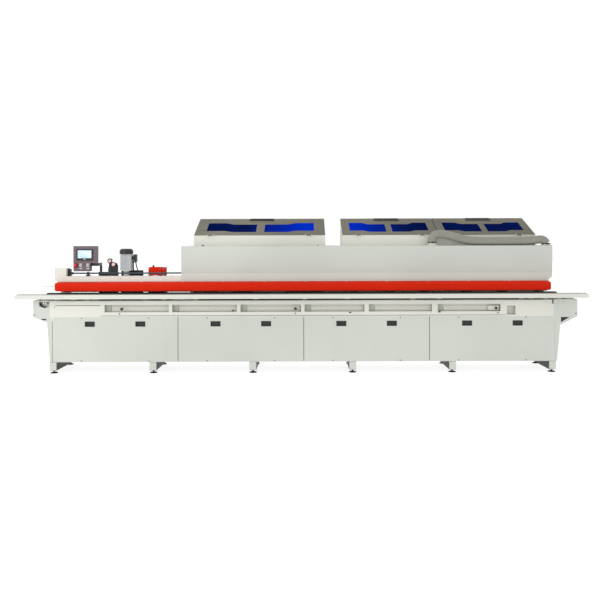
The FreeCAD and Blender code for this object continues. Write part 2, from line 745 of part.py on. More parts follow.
def swept_route(points, radius):
    """A round tube along straight runs joined by tangent arcs, and the radius of each arc."""
    edges = []
    radii = []
    start = points[0]
    for before, corner, after in zip(points, points[1:], points[2:]):
        incoming = (corner - before).normalize()
        outgoing = (after - corner).normalize()
        turn = incoming.getAngle(outgoing)
        shorter = min((corner - before).Length, (after - corner).Length)
        setback = 0.45 * shorter
        arc_radius = setback / math.tan(turn / 2)
        radii.append(arc_radius)
        first = corner - incoming * setback
        last = corner + outgoing * setback
        inward = (outgoing - incoming).normalize()
        middle = corner + inward * (arc_radius / math.cos(turn / 2) - arc_radius)
        edges.append(Part.LineSegment(start, first).toShape())
        edges.append(Part.Arc(first, middle, last).toShape())
        start = last
    edges.append(Part.LineSegment(start, points[-1]).toShape())
    path = Part.Wire(edges)
    heading = (points[1] - points[0]).normalize()
    ring = Part.Wire([Part.Circle(points[0], heading, radius).toShape()])
    tube = path.makePipeShell([ring], True, False)
    expected = math.pi * radius ** 2 * path.Length
    print(f"route length {path.Length:.0f}, volume ratio {tube.Volume / expected:.3f}, radii",
          [round(entry) for entry in radii])
    return tube


def dust_extraction():
    fittings = []
    for number, x in enumerate((-900, 100, 1000, 2300), start=1):
        start = (x, depth(D.hood_rear), 1600)
        pipe = rod(f"spigot_{number}", "y", D.spigot_radius, start, D.spigot_length)
        bore = rod(f"spigot_bore_{number}", "y", D.spigot_radius - 3, start, D.spigot_length)
        fittings.append(cut(f"spigot_pipe_{number}", pipe, bore))
    x, top = HOSE_ROUTE[0]
    fittings.append(rod("hose_port", "z", D.hose_radius - 2,
                        (x, depth(D.hose_depth), D.housing_top), size(top) - D.housing_top))
    node("dust_spigots", group("spigot_group", *fittings))
    y = depth(D.hose_depth).number
    route = [Vector(x, y, z) for x, z in HOSE_ROUTE]
    node("dust_hose", shaped("hose_tube", swept_route(route, D.hose_radius.number)))


# --- Pre-milling unit and what stands beside it ------------------------------------------------

CABLE_RADIUS = 7
CABLE_ROUTES = {
    "motor_cable_1": [(-2068, 322, 1314), (-2071, 324, 1262), (-2067, 331, 1208), (-2065, 341, 1156),
                      (-2066, 346, 1113)],
    "motor_cable_2": [(-2040, 322, 1314), (-2034, 323, 1266), (-2018, 328, 1214), (-2003, 338, 1160),
                      (-1997, 344, 1113)],
}


PLATE_DEPTH = 376


def premill():
    """Pre-milling motor on its quill, with a fan cover and a terminal box."""
    x = D.motor_centre
    y = depth(D.motor_depth)
    half = D.motor_side / 2 - 8
    core_half = half - 8
    core = box("motor_core", (x - core_half, x + core_half), (y - core_half, y + core_half),
               (1216, 1410))
    fins = []
    for number in range(9):
        low = x - core_half + 1 + number * 13.5
        for side, near in (("front", y - half), ("back", y + core_half)):
            fins.append(box(f"motor_fin_{side}_{number + 1}", (low, low + 4), (near, near + 8),
                            (1226, 1404)))
    flange = box("motor_flange_plate", (x - half, x + half), (y - half, y + half), (1208, 1216))
    quill = rod("spindle_quill", "z", 38, (x, y, 1010), 198)
    quill_bore = rod("quill_bore", "z", 12.05, (x, y, 1010), 190)
    bracket = box("quill_bracket", (x - 40, x + 40), (y + 38.5, depth(PLATE_DEPTH)), (1110, 1204))
    node("premill_motor", group("motor_group", core, *fins, flange, bracket,
                                cut("quill_bored", quill, quill_bore)))
    fan_radius = 82
    drum = rod("fan_drum", "z", fan_radius, (x, y, 1410), 42)
    dome = taper("fan_dome", "z", fan_radius, fan_radius - 20, (x, y, 1452), 24)
    terminal = box("terminal_case", (-2064, -2024), (depth(290), depth(354)), (1316, 1406))
    neck = box("terminal_neck", (x + core_half, -2064), (depth(300), depth(344)), (1340, 1384))
    node("premill_covers", group("premill_cover_group", drum, dome, terminal, neck))
    shaft = rod("cutter_shaft", "z", 12, (x, y, 940), 255)
    cutter = rod("cutter_head", "z", D.cutter_radius, (x, y, 940), 60)
    node("premill_spindle", fuse("spindle_solid", shaft, cutter))
    for name, route in CABLE_ROUTES.items():
        points = [Vector(px, depth(py).number, pz) for px, py, pz in route]
        node(name, shaped(name + "_tube", swept_route(points, CABLE_RADIUS)))


def stands():
    """Black stands behind the beam, and the bracket that carries the position indicators."""
    top = D.apron_top
    plate = depth(PLATE_DEPTH)
    pieces = [
        box("panel_column", (-2480, -2248), (depth(258), depth(310)), (top, 1194)),
        box("premill_plate", (-2230, -1960), (plate, plate + 16), (top, 1208)),
        box("cable_box", (-2085, -1965), (plate - 52, plate), (1030, 1112)),
        box("tape_feed_stand", (-1876, -1665), (depth(262), depth(400)), (top, 1134)),
        box("indicator_bracket", (-2355, -2253), (depth(262), depth(276)), (1194, 1300)),
        box("indicator_lug", (-2363, -2315), (depth(262), depth(276)), (1300, 1354)),
    ]
    node("unit_stands", group("stand_group", *pieces))
    for name, x, z in (("position_dial_1", -2339, 1330), ("position_dial_2", -2294, 1285)):
        body = rod(name + "_body", "y", 29, (x, depth(232), z), 29.5)
        cap = rod(name + "_cap", "y", 17, (x, depth(226), z), 6)
        node(name, fuse(name + "_solid", body, cap))
    node("tape_feed_block", box("tape_feed_case", (-1876, -1665), (depth(262), depth(380)),
                                (1134, 1251)))
    node("tape_feed_knob", rod("tape_knob_grip", "z", 16, (-1818, depth(300), 1251.5), 20))


# --- Operator's panel ----------------------------------------------------------------------------

PANEL_POST = -2457


def operator_panel():
    """Control box on a swivelling arm, with its screen, emergency stop and two buttons."""
    front, rear = depth(D.panel_front), depth(D.panel_front + D.panel_thick)
    upper = box("case_upper", (-2731, -2450), (front, rear), (1308, 1511))
    lower = box("case_lower", (-2731, -2527), (front, rear), (1209, 1308))
    bar = box("arm_bar", (-2527, -2442), (rear - 40, rear), (1272, 1304))
    arm = box("panel_arm", (-2472, -2442), (rear, depth(285)), (1272, 1304))
    hub = rod("arm_hub", "z", 15, (PANEL_POST, depth(285), 1196), 110)
    arm_solid = fuse("arm_solid", bar, arm, hub)
    node("panel_case", group("case_group", fuse("case_solid", upper, lower), arm_solid))
    bezel = box("screen_bezel", (-2693, -2493), (front - 6, front), (1338, 1474))
    window = box("screen_recess", (-2676, -2513), (front - 6, front - 4), (1367, 1460))
    glass = box("screen_glass", (-2676, -2513), (front - 6, front - 4.5), (1367, 1460))
    node("panel_screen", group("screen_group", cut("bezel_cut", bezel, window), glass))
    head = rod("stop_head", "y", 18, (-2701, front - 32, 1283), 14)
    stem = rod("stop_stem", "y", 11, (-2701, front - 18, 1283), 12)
    node("emergency_stop", fuse("stop_solid", head, stem))
    for name, x in (("start_button", -2641), ("feed_button", -2557)):
        cap = box(name + "_cap", (x - 14, x + 14), (front - 16, front - 6.5), (1267, 1299))
        node(name, cap)


# --- Adjusting knobs and working units ----------------------------------------------------------

def clamp_knobs():
    for number, x in enumerate((-2137, -75, 2306), start=1):
        name = f"clamp_knob_{number}"
        head = rod(name + "_head", "y", 17, (x, depth(-14), 762), 22)
        stem = rod(name + "_stem", "y", 6, (x, depth(8), 762), D.channel_depth - 8.5)
        node(name, fuse(name + "_solid", head, stem))


def working_units():
    """Glue pot, press unit, end trimmer, fine trimmers and buffers behind the board's edge."""
    top = D.apron_top
    pieces = [
        box("glue_pot", (-1330, -1040), (depth(330), depth(560)), (top, 1290)),
        box("press_unit", (-860, -600), (depth(330), depth(520)), (top, 1180)),
        box("end_trimmer", (-200, 260), (depth(320), depth(560)), (top, 1380)),
    ]
    for number, x in enumerate((620, 1050, 1480, 2000, 2440), start=1):
        pieces.append(box(f"unit_column_{number}", (x, x + 90), (depth(460), depth(560)), (top, 1400)))
        pieces.append(rod(f"unit_motor_high_{number}", "y", 62, (x + 45, depth(270), 1240), 190))
        pieces.append(rod(f"unit_motor_low_{number}", "y", 45, (x + 45, depth(270), 910), 190))
    node("working_units", group("unit_group", *pieces))
    roller = rod("glue_roller_drum", "z", 26, (-1185, depth(262), 940), 60)
    shaft = rod("glue_roller_shaft", "z", 10, (-1185, depth(262), 861), 79)
    node("glue_roller", fuse("glue_roller_solid", roller, shaft))


base_legs()
base_frame()
front_panels()
rear_panels()
apron()
end_covers()
bed()
conveyor()
support_rail()
pressure_beam()
housing()
hoods()
lids()
dust_extraction()
premill()
stands()
operator_panel()
clamp_knobs()
working_units()

doc.recompute()

for entry in doc.Objects:
    failed = [state for state in entry.State if state in ("Invalid", "Error")]
    if failed:
        raise RuntimeError(f"{entry.Label}: {failed}")
for entry in NODES:
    if entry.Shape.isNull() or not entry.Shape.isValid():
        raise RuntimeError(f"{entry.Label}: no valid shape")
for entry in NODES:
    entry.Shape.exportStep(os.path.join("parts", entry.Label + ".step"))
print(len(NODES), "sub-parts")
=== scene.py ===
"""Looks of the edge banding machine: painted sheet metal, a red pressure cover, blue lid windows,
a corrugated dust hose, the operator's panel and the small fittings along the front."""
import math

import bmesh
import bpy
from mathutils import Matrix, Vector


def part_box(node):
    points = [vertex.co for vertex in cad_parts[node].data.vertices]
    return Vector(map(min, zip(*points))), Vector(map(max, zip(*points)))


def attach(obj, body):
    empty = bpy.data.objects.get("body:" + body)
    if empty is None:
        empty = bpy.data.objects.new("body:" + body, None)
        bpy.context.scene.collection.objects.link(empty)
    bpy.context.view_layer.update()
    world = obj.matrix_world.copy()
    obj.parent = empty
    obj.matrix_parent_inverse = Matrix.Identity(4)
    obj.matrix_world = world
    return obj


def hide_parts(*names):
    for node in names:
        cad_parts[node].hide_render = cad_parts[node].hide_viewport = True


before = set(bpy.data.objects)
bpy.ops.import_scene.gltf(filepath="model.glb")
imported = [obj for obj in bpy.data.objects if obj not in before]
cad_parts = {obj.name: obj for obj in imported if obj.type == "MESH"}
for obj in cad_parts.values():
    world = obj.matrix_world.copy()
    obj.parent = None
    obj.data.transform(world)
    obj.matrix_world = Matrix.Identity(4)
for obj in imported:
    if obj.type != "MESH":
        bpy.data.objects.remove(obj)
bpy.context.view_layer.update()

scene = bpy.context.scene
scene.view_settings.view_transform = "Standard"

MM = 0.001
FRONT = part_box("front_panel_1")[0].y
AXES = {"x": Vector((1, 0, 0)), "y": Vector((0, 1, 0)), "z": Vector((0, 0, 1))}


def at(x, depth, z):
    """A point from millimetres: X, distance behind the front panels, and height."""
    return Vector((x * MM, FRONT + depth * MM, z * MM))


# --- Camera, light and floor --------------------------------------------------------------------

CAMERA_X = 0.041
CAMERA_DISTANCE = 9.0
CAMERA_HEIGHT = 1.60
CAMERA_LENS = 45.5
CAMERA_SHIFT = (-0.0083, -0.1033)
CAMERA_ROLL = 0.17


def make_camera():
    """Stands square to the machine's front, with its picture shifted instead of tilted."""
    data = bpy.data.cameras.new("camera")
    data.lens = CAMERA_LENS
    data.sensor_width = 36
    data.shift_x, data.shift_y = CAMERA_SHIFT
    data.clip_end = 100
    camera = bpy.data.objects.new("camera", data)
    camera.location = (CAMERA_X, FRONT - CAMERA_DISTANCE, CAMERA_HEIGHT)
    camera.rotation_euler = (math.radians(90), math.radians(CAMERA_ROLL), 0)
    scene.collection.objects.link(camera)
    scene.camera = camera


def area_light(name, place, target, size, power, colour=(1, 1, 1)):
    data = bpy.data.lights.new(name, "AREA")
    data.shape = "RECTANGLE"
    data.size, data.size_y = size
    data.energy = power
    data.color = colour
    lamp = bpy.data.objects.new(name, data)
    lamp.location = place
    lamp.rotation_euler = (Vector(target) - Vector(place)).to_track_quat("-Z", "Y").to_euler()
    scene.collection.objects.link(lamp)


WORLD_STRENGTH = 1.02
KEY_POWER = 130
FILL_POWER = 2
BACK_POWER = 30
FLOOR_HALF = 40.0


def make_studio():
    """White surroundings, a key light at the infeed end and a floor that shows no shadow."""
    world = bpy.data.worlds.new("studio")
    world.use_nodes = True
    background = world.node_tree.nodes["Background"]
    background.inputs["Color"].default_value = (1, 1, 1, 1)
    background.inputs["Strength"].default_value = WORLD_STRENGTH
    scene.world = world
    area_light("key", (-6.5, -5.2, 3.4), (-2.6, 0, 1.0), (4.0, 3.0), KEY_POWER)
    area_light("fill", (3.5, -7.0, 2.2), (0.5, 0, 0.8), (5.0, 3.0), FILL_POWER)
    area_light("back", (0, 6.0, 4.5), (0, 0, 1.2), (6.0, 3.0), BACK_POWER)
    mesh = bpy.data.meshes.new("floor")
    corners = [(-1, -1), (1, -1), (1, 1), (-1, 1)]
    mesh.from_pydata([(x * FLOOR_HALF, y * FLOOR_HALF, 0) for x, y in corners],
                     [], [(0, 1, 2, 3)])
    floor = bpy.data.objects.new("floor", mesh)
    scene.collection.objects.link(floor)
    mesh.materials.append(floor_material())


# --- Materials ------------------------------------------------------------------------------------

def linear(red, green, blue):
    """A colour given as display values from 0 to 255."""
    def channel(number):
        part = number / 255
        return part / 12.92 if part <= 0.04045 else ((part + 0.055) / 1.055) ** 2.4
    return channel(red), channel(green), channel(blue), 1.0


def shade(colour, factor):
    return tuple(min(1.0, part * factor) for part in colour[:3]) + (1.0,)


class Shader:
    """A material's node tree, with the few nodes that the finishes below share."""

    def __init__(self, name):
        self.material = bpy.data.materials.new(name)
        self.material.use_nodes = True
        self.nodes = self.material.node_tree.nodes
        self.links = self.material.node_tree.links
        self.surface = self.nodes["Principled BSDF"]
        self.place = self.nodes.new("ShaderNodeTexCoord").outputs["Object"]

    def add(self, kind, **inputs):
        made = self.nodes.new(kind)
        for name, entry in inputs.items():
            self.feed(made.inputs[name], entry)
        return made

    def feed(self, socket, entry):
        if isinstance(entry, bpy.types.NodeSocket):
            self.links.new(entry, socket)
        else:
            socket.default_value = entry

    def stretched(self, scale):
        mapping = self.nodes.new("ShaderNodeMapping")
        self.links.new(self.place, mapping.inputs["Vector"])
        mapping.inputs["Scale"].default_value = scale
        return mapping.outputs["Vector"]

    def noise(self, scale, detail=3.0, roughness=0.5, stretch=None):
        vector = self.stretched(stretch) if stretch else self.place
        made = self.add("ShaderNodeTexNoise", Vector=vector, Scale=scale, Detail=detail,
                        Roughness=roughness)
        return made.outputs["Fac"]

    def ramp(self, factor, low, high, first, last):
        made = self.nodes.new("ShaderNodeMapRange")
        self.feed(made.inputs["Value"], factor)
        made.inputs["From Min"].default_value = low
        made.inputs["From Max"].default_value = high
        made.inputs["To Min"].default_value = first
        made.inputs["To Max"].default_value = last
        return made.outputs["Result"]

    def mix(self, factor, first, second, blend="MIX"):
        made = self.nodes.new("ShaderNodeMix")
        made.data_type = "RGBA"
        made.blend_type = blend
        self.feed(made.inputs["Factor"], factor)
        self.feed(made.inputs[6], first)
        self.feed(made.inputs[7], second)
        return made.outputs[2]

    def bump(self, height, strength, distance=0.001):
        made = self.add("ShaderNodeBump", Height=height, Strength=strength, Distance=distance)
        self.feed(self.surface.inputs["Normal"], made.outputs["Normal"])

    def colour(self, entry):
        self.feed(self.surface.inputs["Base Color"], entry)

    def roughness(self, entry):
        self.feed(self.surface.inputs["Roughness"], entry)

    def metal(self, amount):
        self.surface.inputs["Metallic"].default_value = amount


def painted(name, colour, rough=0.38, spread=0.05, grime=0.12, specular=0.4):
    """Powder-coated sheet: broad tone changes, faint dust marks and an orange-peel surface."""
    made = Shader(name)
    broad = made.noise(0.9, 2.0)
    tone = made.mix(made.ramp(broad, 0.35, 0.65, 0, 1), shade(colour, 1 - spread),
                    shade(colour, 1 + spread / 2))
    streak = made.noise(3.0, 5.0, 0.6, stretch=(1.0, 1.0, 0.25))
    marks = made.ramp(streak, 0.58, 0.80, 0, grime)
    made.colour(made.mix(marks, tone, shade(colour, 0.62)))
    smudge = made.noise(14.0, 4.0)
    made.roughness(made.ramp(smudge, 0.3, 0.7, rough - 0.06, rough + 0.10))
    made.bump(made.noise(420.0, 2.0), 0.10, 0.0006)
    made.surface.inputs["Specular IOR Level"].default_value = specular
    return made.material


def moulded(name, colour, rough=0.45, grain=900.0, spread=0.25, strength=0.18):
    """Moulded plastic or rubber: fine grain, worn and dusty patches."""
    made = Shader(name)
    dust = made.noise(24.0, 5.0, 0.65)
    lighter = tuple(part + 0.02 for part in shade(colour, 1 + spread)[:3]) + (1.0,)
    made.colour(made.mix(made.ramp(dust, 0.45, 0.75, 0, 0.6), colour, lighter))
    made.roughness(made.ramp(made.noise(60.0), 0.3, 0.7, rough - 0.08, rough + 0.12))
    made.bump(made.noise(grain, 2.0), strength, 0.0005)
    return made.material


def bare_metal(name, colour, rough=0.3, stretch=(1, 1, 1), scale=220.0, metal=1.0):
    """Bare metal with machining lines and faint stains."""
    made = Shader(name)
    lines = made.noise(scale, 3.0, 0.6, stretch=stretch)
    stain = made.noise(9.0, 4.0)
    tone = made.mix(made.ramp(lines, 0.3, 0.7, 0, 1), shade(colour, 0.82), shade(colour, 1.1))
    made.colour(made.mix(made.ramp(stain, 0.55, 0.8, 0, 0.4), tone, shade(colour, 0.55)))
    made.roughness(made.ramp(lines, 0.3, 0.7, rough - 0.08, rough + 0.14))
    made.bump(lines, 0.15, 0.0004)
    made.metal(metal)
    return made.material


LIT_X = 0.30
LIT_HALF_WIDTH = 0.25
LIT_END = 0.95


def acrylic():
    """Blue acrylic: nearly navy, with a brighter stretch where light from behind reaches it."""
    made = Shader("blue_acrylic")
    parts = made.nodes.new("ShaderNodeSeparateXYZ")
    made.links.new(made.place, parts.inputs["Vector"])
    offset = made.nodes.new("ShaderNodeMath")
    offset.operation = "SUBTRACT"
    made.feed(offset.inputs[0], parts.outputs["X"])
    offset.inputs[1].default_value = LIT_X
    distance = made.nodes.new("ShaderNodeMath")
    distance.operation = "ABSOLUTE"
    made.feed(distance.inputs[0], offset.outputs[0])
    lit = made.ramp(distance.outputs[0], LIT_HALF_WIDTH, LIT_END, 1.0, 0.0)
    cloud = made.ramp(made.noise(5.0, 1.0), 0.35, 0.65, 0.55, 1.0)
    dark = made.mix(cloud, linear(3, 12, 52), linear(6, 22, 78))
    made.colour(made.mix(lit, dark, linear(3, 44, 190)))
    made.roughness(made.ramp(made.noise(30.0, 2.0), 0.3, 0.7, 0.12, 0.3))
    made.surface.inputs["Specular IOR Level"].default_value = 0.0
    return made.material

def display():
    """Lit display: soft blue sky tone with paler bands, as a resting menu page."""
    made = Shader("screen_glass")
    wide = made.noise(9.0, 1.0, stretch=(1, 1, 3))
    made.colour(made.mix(made.ramp(wide, 0.35, 0.65, 0, 1), linear(168, 196, 216),
                         linear(205, 222, 234)))
    made.roughness(made.ramp(made.noise(80.0), 0.3, 0.7, 0.08, 0.16))
    made.surface.inputs["Emission Color"].default_value = linear(190, 212, 230)
    made.surface.inputs["Emission Strength"].default_value = 0.25
    return made.material


FLOOR_GLOW = 0.86


def floor_material():
    """Softly glowing white, so that the floor melts into the surroundings."""
    made = Shader("studio_floor")
    soft = made.noise(0.6, 2.0)
    made.colour((0.25, 0.25, 0.25, 1))
    made.roughness(made.ramp(soft, 0.3, 0.7, 0.8, 0.9))
    made.surface.inputs["Emission Color"].default_value = (1, 1, 1, 1)
    made.surface.inputs["Emission Strength"].default_value = FLOOR_GLOW
    return made.material


def make_materials():
    return {
        "cabinet_white": painted("cabinet_white", linear(194, 198, 190)),
        "cream_white": painted("cream_white", linear(212, 212, 203)),
        "rail_white": painted("rail_white", linear(208, 209, 200), spread=0.04),
        "frame_grey": painted("frame_grey", linear(176, 179, 170), rough=0.5, grime=0.3),
        "lid_grey": painted("lid_grey", linear(116, 113, 101), rough=0.6, spread=0.22, specular=0.15),
        "red_paint": painted("red_paint", linear(206, 34, 4), rough=0.5, spread=0.04, grime=0.04,
                             specular=0.08),
        "panel_grey": painted("panel_grey", linear(104, 92, 98), rough=0.5, specular=0.3),
        "bearing_green": painted("bearing_green", linear(38, 46, 40), rough=0.45, grime=0.4),
        "black_plastic": moulded("black_plastic", linear(24, 25, 26)),
        "chain_rubber": moulded("chain_rubber", linear(26, 27, 27), rough=0.7, grain=500.0),
        "cable_black": moulded("cable_black", linear(20, 21, 22), rough=0.5),
        "hose_grey": moulded("hose_grey", linear(132, 132, 122), rough=0.42, spread=0.12),
        "roller_white": moulded("roller_white", linear(196, 194, 178), rough=0.45, spread=0.08),
        "roller_dull": moulded("roller_dull", linear(140, 141, 134), rough=0.5, spread=0.2),
        # painted shade: a dark paint for the leg beams, standing in for the shade under the cabinet
        "leg_beam_painted_shade": painted("leg_beam_painted_shade", linear(66, 69, 64), rough=0.55, specular=0.25),
        "button_white": moulded("button_white", linear(176, 172, 176), rough=0.35, spread=0.05),
        "stop_red": moulded("stop_red", linear(190, 18, 24), rough=0.25, spread=0.1),
        "dial_red": moulded("dial_red", linear(112, 22, 24), rough=0.35, spread=0.2),
        "dial_face": moulded("dial_face", linear(232, 214, 208), rough=0.3, spread=0.05),
        "steel": bare_metal("steel", (0.42, 0.43, 0.45, 1), stretch=(0.1, 1, 1)),
        "shaft_dark": bare_metal("shaft_dark", linear(74, 82, 90), rough=0.36, metal=0.7,
                                 stretch=(0.1, 1, 1)),
        "galvanised": bare_metal("galvanised", (0.55, 0.56, 0.57, 1), rough=0.4, scale=40.0),
        "motor_aluminium": bare_metal("motor_aluminium", linear(206, 210, 210), rough=0.42,
                                      metal=0.35, scale=90.0),
        "blue_acrylic": acrylic(),
        "screen": display(),
    }


# --- Mesh building --------------------------------------------------------------------------------

def add_box(bm, low, high):
    low, high = Vector(low), Vector(high)
    middle = (low + high) / 2
    extent = high - low
    bmesh.ops.create_cube(bm, size=1, matrix=Matrix.Translation(middle) @ Matrix.Diagonal(
        (*extent, 1)))


def turned(start, heading):
    return Matrix.Translation(start) @ Vector(heading).to_track_quat("Z", "Y").to_matrix().to_4x4()


def add_lathe(bm, profile, origin, heading, segments=40):
    """Spins (radius, distance) points round a line from origin."""
    place = turned(origin, heading)
    rings = []
    for radius, distance in profile:
        if radius < 1e-6:
            rings.append([bm.verts.new(place @ Vector((0, 0, distance)))])
            continue
        angles = [2 * math.pi * step / segments for step in range(segments)]
        rings.append([bm.verts.new(place @ Vector((radius * math.cos(turn), radius * math.sin(turn),
                                                   distance))) for turn in angles])
    for first, second in zip(rings, rings[1:]):
        for step in range(segments):
            following = (step + 1) % segments
            corners = []
            for ring, order in ((first, (step, following)), (second, (following, step))):
                corners += [ring[index % len(ring)] for index in order]
            unique = list(dict.fromkeys(corners))
            if len(unique) > 2:
                bm.faces.new(unique)


def add_rod(bm, start, heading, radius, length, rim=0.0006, segments=32):
    """A capped cylinder with a small rounded rim."""
    rim = min(rim, radius / 3, length / 3)
    profile = [(0, 0), (radius - rim, 0), (radius, rim), (radius, length - rim),
               (radius - rim, length), (0, length)]
    add_lathe(bm, profile, start, heading, segments)


def add_strip(bm, outline, low_x, high_x):
    """A closed YZ outline carried along X, with flat ends."""
    ends = [[bm.verts.new((x, y, z)) for y, z in outline] for x in (low_x, high_x)]
    count = len(outline)
    for index in range(count):
        following = (index + 1) % count
        bm.faces.new((ends[0][index], ends[0][following], ends[1][following], ends[1][index]))
    bm.faces.new(list(reversed(ends[0])))
    bm.faces.new(ends[1])


def finish_mesh(bm, name, material, body, bevel=0.0, segments=2):
    bmesh.ops.recalc_face_normals(bm, faces=bm.faces)
    mesh = bpy.data.meshes.new(name)
    bm.to_mesh(mesh)
    bm.free()
    mesh.shade_smooth()
    mesh.set_sharp_from_angle(angle=math.radians(38))
    piece = bpy.data.objects.new(name, mesh)
    scene.collection.objects.link(piece)
    mesh.materials.append(material)
    if bevel:
        add_bevel(piece, bevel, segments)
    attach(piece, body)
    return piece


def add_bevel(piece, width, segments=2):
    modifier = piece.modifiers.new("edge", "BEVEL")
    modifier.width = width
    modifier.segments = segments
    modifier.limit_method = "ANGLE"
    modifier.angle_limit = math.radians(40)
    modifier.harden_normals = True


def boxes(name, material, body, corners, bevel=0.0008):
    """One piece made of several boxes, each a pair of corners."""
    bm = bmesh.new()
    for low, high in corners:
        add_box(bm, low, high)
    return finish_mesh(bm, name, material, body, bevel)


def screws(name, places, heading, radius, material, body):
    """Domed screw heads with a hexagon socket."""
    bm = bmesh.new()
    outward = Vector(heading)
    for place in places:
        height = radius * 0.55
        profile = [(radius * 0.4, height * 0.45), (radius * 0.42, height), (radius * 0.75, height * 0.92),
                   (radius, height * 0.45), (radius, 0)]
        add_lathe(bm, [(0, height * 0.4)] + profile, place, outward, 16)
    return finish_mesh(bm, name, material, body)


# --- CAD nodes that stay --------------------------------------------------------------------------

def dress(nodes, material, bevel=0.0):
    """Gives carried CAD nodes their material and a softened edge."""
    for name in nodes:
        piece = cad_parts[name]
        piece.data.materials.clear()
        piece.data.materials.append(material)
        if bevel:
            add_bevel(piece, bevel)


def dress_frame(m):
    panels = [f"front_panel_{number}" for number in range(1, 5)]
    dress(panels + ["rear_panels", "housing_panels", "infeed_end_cover", "outfeed_end_cover"],
          m["cabinet_white"], 0.0008)
    dress(["apron_rails", "apron_posts", "pressure_beam", "hoods"], m["cream_white"], 0.001)
    dress(["support_rail"], m["rail_white"], 0.0006)
    dress(["housing_front"], m["cabinet_white"])
    # painted shade: the leg beams are painted dark for the shade under the cabinet; their end plates stay
    # white
    dress(["leg_beams"], m["leg_beam_painted_shade"], 0.0015)
    dress(["frame_rails", "frame_posts", "machine_bed", "working_units",
           "drive_gearmotor"], m["frame_grey"], 0.0015)
    dress(["unit_stands", "tape_feed_knob"], m["black_plastic"], 0.0015)
    dress(["conveyor_chain"], m["chain_rubber"], 0.001)
    dress(["rail_rollers"], m["roller_dull"], 0.001)
    dress(["drive_sprocket", "idler_sprocket", "premill_spindle", "glue_roller"], m["steel"], 0.0008)
    dress(["lift_shaft"], m["shaft_dark"], 0.0006)
    dress(["lid_left", "lid_middle", "lid_right"], m["lid_grey"], 0.0008)
    dress(["lid_left_windows", "lid_middle_windows", "lid_right_windows"], m["blue_acrylic"], 0.0005)
    dress(["dust_spigots"], m["galvanised"])


# --- Dust hose and cables -------------------------------------------------------------------------

HOSE_DEPTH = 145
HOSE_RADIUS = 0.051
HOSE_ROUTE = [
    (1575, 1552), (1575, 1608), (1632, 1644), (1742, 1637), (1880, 1597), (2040, 1561),
    (2240, 1557), (2480, 1558), (2680, 1557), (2826, 1571), (2922, 1578), (2946, 1533),
]
CABLE_RADIUS = 0.007
CABLE_ROUTES = {
    "motor_cable_1": [(-2068, 322, 1314), (-2071, 324, 1262), (-2067, 331, 1208), (-2065, 341, 1156),
                      (-2066, 346, 1113)],
    "motor_cable_2": [(-2040, 322, 1314), (-2034, 323, 1266), (-2018, 328, 1214), (-2003, 338, 1160),
                      (-1997, 344, 1113)],
}


def nurbs(name, points):
    curve = bpy.data.curves.new(name, "CURVE")
    curve.dimensions = "3D"
    curve.resolution_u = 24
    line = curve.splines.new("NURBS")
    line.points.add(len(points) - 1)
    for control, point in zip(line.points, points):
        control.co = (*point, 1)
    line.order_u = 3
    line.use_endpoint_u = True
    piece = bpy.data.objects.new(name, curve)
    scene.collection.objects.link(piece)
    return piece


def followed(points):
    """The points that a route's own smooth line passes through."""
    guide = nurbs("guide", points)
    bpy.context.view_layer.update()
    graph = bpy.context.evaluated_depsgraph_get()
    mesh = bpy.data.meshes.new_from_object(guide.evaluated_get(graph))
    line = [vertex.co.copy() for vertex in mesh.vertices]
    bpy.data.meshes.remove(mesh)
    bpy.data.objects.remove(guide)
    return line


def line_length(line):
    return sum((second - first).length for first, second in zip(line, line[1:]))


def along(line, spacing):
    """Evenly spaced points and headings along a line."""
    count = max(2, round(line_length(line) / spacing))
    step = line_length(line) / count
    places = []
    travelled = 0.0
    target = 0.0
    for first, second in zip(line, line[1:]):
        run = (second - first).length
        while target <= travelled + run + 1e-9 and len(places) <= count and run > 0:
            share = (target - travelled) / run
            places.append((first.lerp(second, share), (second - first).normalized(), target))
            target += step
        travelled += run
    return places


def corrugated_hose(m):
    """Spiral dust hose: one ridge wound round a flexible wall."""
    line = followed([at(x, HOSE_DEPTH, z) for x, z in HOSE_ROUTE])
    pitch, groove, segments = 0.022, 0.0036, 36
    bm = bmesh.new()
    rings = []
    side = Vector((0, 1, 0))
    for centre, heading, travelled in along(line, 0.0036):
        up = heading.cross(side).normalized()
        ring = []
        for index in range(segments):
            turn = 2 * math.pi * index / segments
            wave = 0.5 + 0.5 * math.cos(2 * math.pi * travelled / pitch - turn)
            radius = HOSE_RADIUS - groove * (1 - wave ** 0.6)
            ring.append(bm.verts.new(centre + side * radius * math.cos(turn)
                                     + up * radius * math.sin(turn)))
        rings.append(ring)
    for first, second in zip(rings, rings[1:]):
        for index in range(segments):
            following = (index + 1) % segments
            bm.faces.new((first[index], first[following], second[following], second[index]))
    bm.faces.new(rings[0])
    bm.faces.new(rings[-1])
    hose = finish_mesh(bm, "dust_hose_spiral", m["hose_grey"], "base")
    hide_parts("dust_hose")


def motor_cables(m):
    for name, route in CABLE_ROUTES.items():
        points = [at(*point) for point in route]
        cable = nurbs(name + "_run", points)
        cable.data.bevel_depth = CABLE_RADIUS
        cable.data.bevel_resolution = 6
        cable.data.use_fill_caps = True
        cable.data.materials.append(m["cable_black"])
        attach(cable, "base")
        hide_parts(name)
        line_length(followed(points))


